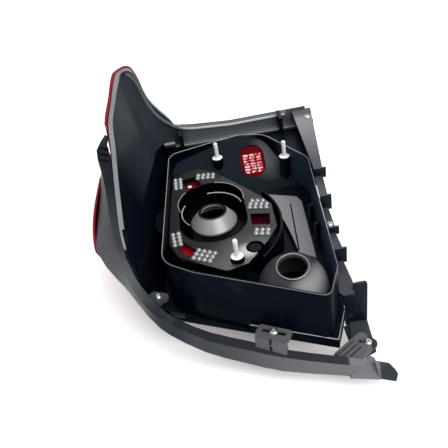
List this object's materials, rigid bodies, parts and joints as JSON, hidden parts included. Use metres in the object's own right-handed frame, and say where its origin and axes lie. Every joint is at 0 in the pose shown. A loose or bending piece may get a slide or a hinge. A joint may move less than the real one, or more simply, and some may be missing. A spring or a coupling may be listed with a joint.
{
  "type": "tail light cluster",
  "caption": "Tail light cluster for the corner of a car, seen from its bulb side: red wrap-round lens, black housing with a bulb chamber, a trim strip and white locating studs.",
  "frame": {"origin": "Shoulder of the near locating stud, where its round shank leaves the flange.", "axes": "+Z is the way the locating studs point, away from the lens. +X is towards the stepped edge bracket. +Y is towards the far wall with the horn."},
  "size_m": [0.2836, 0.3775, 0.2122],
  "materials": {
    "red_lens": "deep red moulded lens",
    "black_moulding": "dark moulded plastic with a soft sheen",
    "trim_moulding": "dark grey moulded plastic with a soft sheen",
    "silver_bezel": "dull silver coated plastic",
    "grey_dish": "light grey reflector plastic",
    "grey_dome": "grey moulded plastic with a soft sheen",
    "red_optic": "red plastic",
    "grey_plate": "light grey plastic",
    "white_stud": "white plastic",
    "zinc_screw": "zinc plated steel"
  },
  "bodies": {
    "root": {"lens": "red_lens", "housing": "black_moulding", "lower_trim": "trim_moulding", "edge_bracket": "trim_moulding", "bezel": "silver_bezel", "shroud": "black_moulding", "dish": "grey_dish", "dome": "grey_dome", "window_optic": "red_optic", "inner_filter": "red_optic", "shield_plate": "grey_plate", "stud_near": "white_stud", "stud_far_left": "white_stud", "stud_far_right": "white_stud", "trim_screws": "zinc_screw"}
  },
  "joints": []
}
